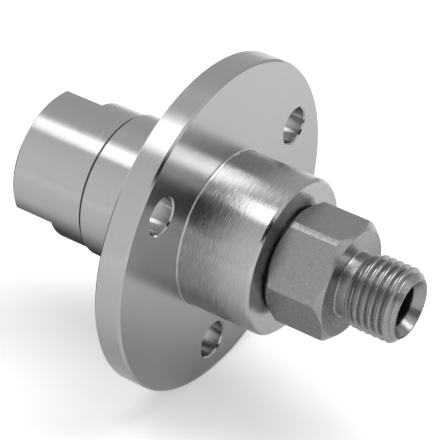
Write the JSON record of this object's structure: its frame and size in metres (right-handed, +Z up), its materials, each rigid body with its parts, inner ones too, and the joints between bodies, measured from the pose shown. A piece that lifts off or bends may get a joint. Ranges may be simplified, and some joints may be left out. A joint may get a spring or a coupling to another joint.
{
  "type": "hydraulic rotary union",
  "caption": "Flange-mounted in-line rotary union: round drilled flange, female port at the back, turning hexagon shaft with male thread in front.",
  "frame": {"origin": "centre of the flange's rear face, on the shaft's axis", "axes": "+X along the shaft's axis towards the male outlet thread, +Z up, away from the lowest bolt hole"},
  "size_m": [0.0724, 0.06, 0.06],
  "materials": {
    "housing_steel": "turned stainless steel, fine circular finish",
    "inlet_steel": "turned stainless steel, satin",
    "shaft_steel": "turned and milled stainless steel, fine matte",
    "bearing_steel": "ground and polished bearing steel",
    "seal_case_steel": "pressed sheet steel",
    "spacer_steel": "turned steel",
    "spring_steel": "phosphated spring steel",
    "seal_ring_steel": "hard lapped seal ring",
    "carbon": "lapped carbon graphite",
    "nitrile": "moulded nitrile rubber",
    "ptfe": "turned white PTFE",
    "cage_plastic": "moulded natural nylon"
  },
  "bodies": {
    "housing": {"flanged_housing": "housing_steel", "inlet_body": "inlet_steel", "front_bearing_outer_ring": "bearing_steel", "front_bearing_shields": "seal_case_steel", "rear_bearing_outer_ring": "bearing_steel", "rear_bearing_shields": "seal_case_steel", "outer_spacer": "spacer_steel", "housing_retaining_ring": "spring_steel", "lip_seal_case": "seal_case_steel", "lip_seal": "nitrile", "anti_rotation_pin": "spring_steel", "stationary_ring_o_ring": "nitrile", "stationary_ring_backup_ring": "ptfe", "inlet_body_o_ring": "nitrile", "seal_spring": "spring_steel"},
    "rotor": {"outlet_shaft": "shaft_steel", "front_bearing_inner_ring": "bearing_steel", "rear_bearing_inner_ring": "bearing_steel", "inner_spacer": "spacer_steel", "shaft_retaining_ring": "spring_steel", "rotating_seal_ring": "seal_ring_steel", "rotating_ring_o_ring": "nitrile"},
    "seal_carrier": {"stationary_seal_ring": "carbon", "spring_washer": "spring_steel"},
    "front_cage": {"front_bearing_balls": "bearing_steel", "front_bearing_cage": "cage_plastic"},
    "rear_cage": {"rear_bearing_balls": "bearing_steel", "rear_bearing_cage": "cage_plastic"}
  },
  "joints": [
    {"name": "shaft_spin", "type": "hinge", "parent": "housing", "child": "rotor", "pos_m": [0, 0, 0], "axis": [1, 0, 0], "continuous": true},
    {"name": "front_cage_orbit", "type": "hinge", "parent": "housing", "child": "front_cage", "pos_m": [0.01225, 0, 0], "axis": [1, 0, 0], "continuous": true},
    {"name": "rear_cage_orbit", "type": "hinge", "parent": "housing", "child": "rear_cage", "pos_m": [0.00425, 0, 0], "axis": [1, 0, 0], "continuous": true},
    {"name": "seal_ring_float", "type": "slide", "parent": "housing", "child": "seal_carrier", "axis": [-1, 0, 0], "range_m": [0, 0.0006], "stiffness_N_per_m": 2000, "springref_m": -0.005, "deforming": ["seal_spring"]}
  ],
  "couplings": [
    {"joint": "front_cage_orbit", "follows": "shaft_spin", "ratio": 0.42785},
    {"joint": "rear_cage_orbit", "follows": "shaft_spin", "ratio": 0.42785}
  ]
}
